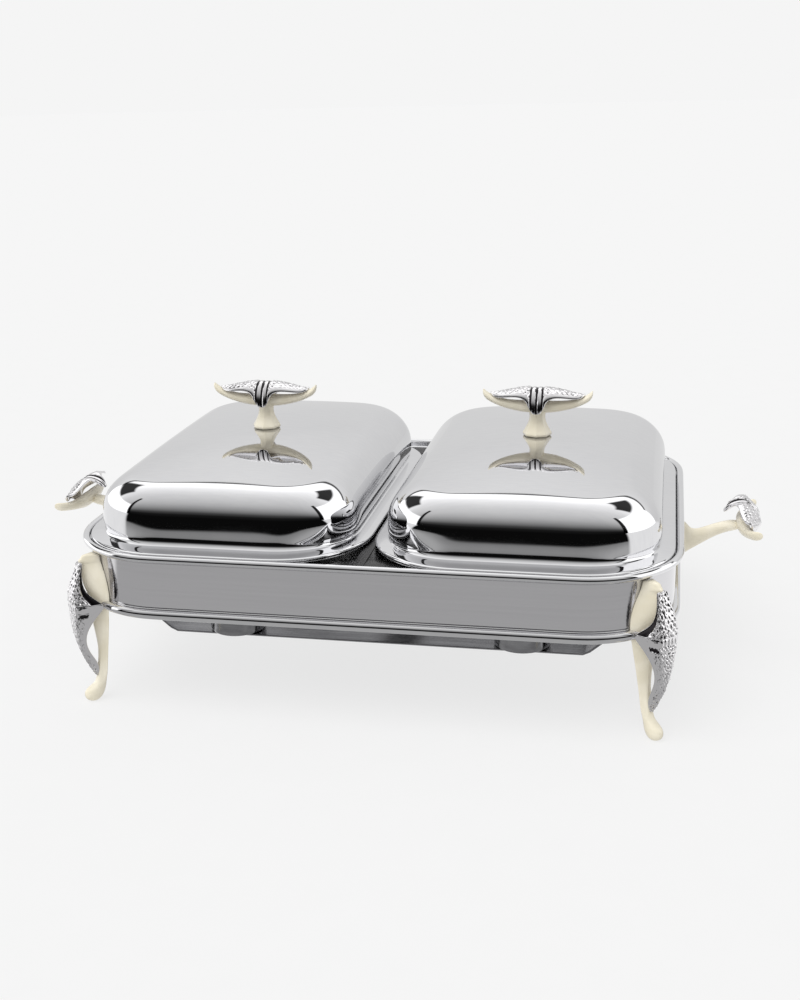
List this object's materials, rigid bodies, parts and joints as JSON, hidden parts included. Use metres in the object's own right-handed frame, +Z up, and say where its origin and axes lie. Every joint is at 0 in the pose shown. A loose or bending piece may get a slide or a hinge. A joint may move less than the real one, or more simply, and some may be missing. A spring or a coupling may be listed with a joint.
{
  "type": "chafing dish food warmer",
  "caption": "Rectangular buffet food warmer with side-by-side domed lids, lift-out pans, cast cabriole legs and handles, over candle burner cups.",
  "frame": {"origin": "on the floor under the middle of the frame, where the feet stand", "axes": "+X along the long side towards the right handle, +Y to the back, +Z up"},
  "size_m": [0.5918, 0.362, 0.2245],
  "materials": {
    "mirror_steel": "mirror polished stainless steel",
    "satin_band": "satin polished, soft reflections",
    "satin_steel": "fine satin",
    "burner_steel": "bright rolled sheet",
    "ivory_enamel": "satin ivory enamel over cast zinc",
    "silver_plate": "bright silver plate with engraved relief",
    "zinc_fasteners": "zinc plated"
  },
  "bodies": {
    "frame": {"frame_band": "satin_band", "top_rim": "mirror_steel", "bottom_rim": "mirror_steel", "centre_divider": "satin_steel", "leg_core_front_left": "ivory_enamel", "leg_core_front_right": "ivory_enamel", "leg_core_back_left": "ivory_enamel", "leg_core_back_right": "ivory_enamel", "leg_leaf_front_left": "silver_plate", "leg_leaf_front_right": "silver_plate", "leg_leaf_back_left": "silver_plate", "leg_leaf_back_right": "silver_plate", "leg_screws": "zinc_fasteners", "handle_arm_left": "ivory_enamel", "handle_arm_right": "ivory_enamel", "handle_leaf_left": "silver_plate", "handle_leaf_right": "silver_plate", "handle_screws": "zinc_fasteners", "burner_rail_front": "burner_steel", "burner_rail_back": "burner_steel", "burner_cup_front_left": "burner_steel", "burner_cup_front_right": "burner_steel", "burner_cup_back_left": "burner_steel", "burner_cup_back_right": "burner_steel", "cup_rivets": "zinc_fasteners", "rail_screws": "zinc_fasteners", "rail_nuts": "zinc_fasteners"},
    "pan_left": {"food_pan_left": "satin_steel"},
    "lid_left": {"lid_left": "mirror_steel", "knob_stem_left": "ivory_enamel", "knob_leaf_left": "silver_plate", "knob_screw_left": "zinc_fasteners", "knob_washer_left": "zinc_fasteners"},
    "pan_right": {"food_pan_right": "satin_steel"},
    "lid_right": {"lid_right": "mirror_steel", "knob_stem_right": "ivory_enamel", "knob_leaf_right": "silver_plate", "knob_screw_right": "zinc_fasteners", "knob_washer_right": "zinc_fasteners"}
  },
  "joints": [
    {"name": "pan_left_lift", "type": "slide", "parent": "frame", "child": "pan_left", "axis": [0, 0, 1], "range_m": [0, 0.12]},
    {"name": "lid_left_lift", "type": "slide", "parent": "pan_left", "child": "lid_left", "axis": [0, 0, 1], "range_m": [0, 0.12]},
    {"name": "pan_right_lift", "type": "slide", "parent": "frame", "child": "pan_right", "axis": [0, 0, 1], "range_m": [0, 0.12]},
    {"name": "lid_right_lift", "type": "slide", "parent": "pan_right", "child": "lid_right", "axis": [0, 0, 1], "range_m": [0, 0.12]}
  ]
}
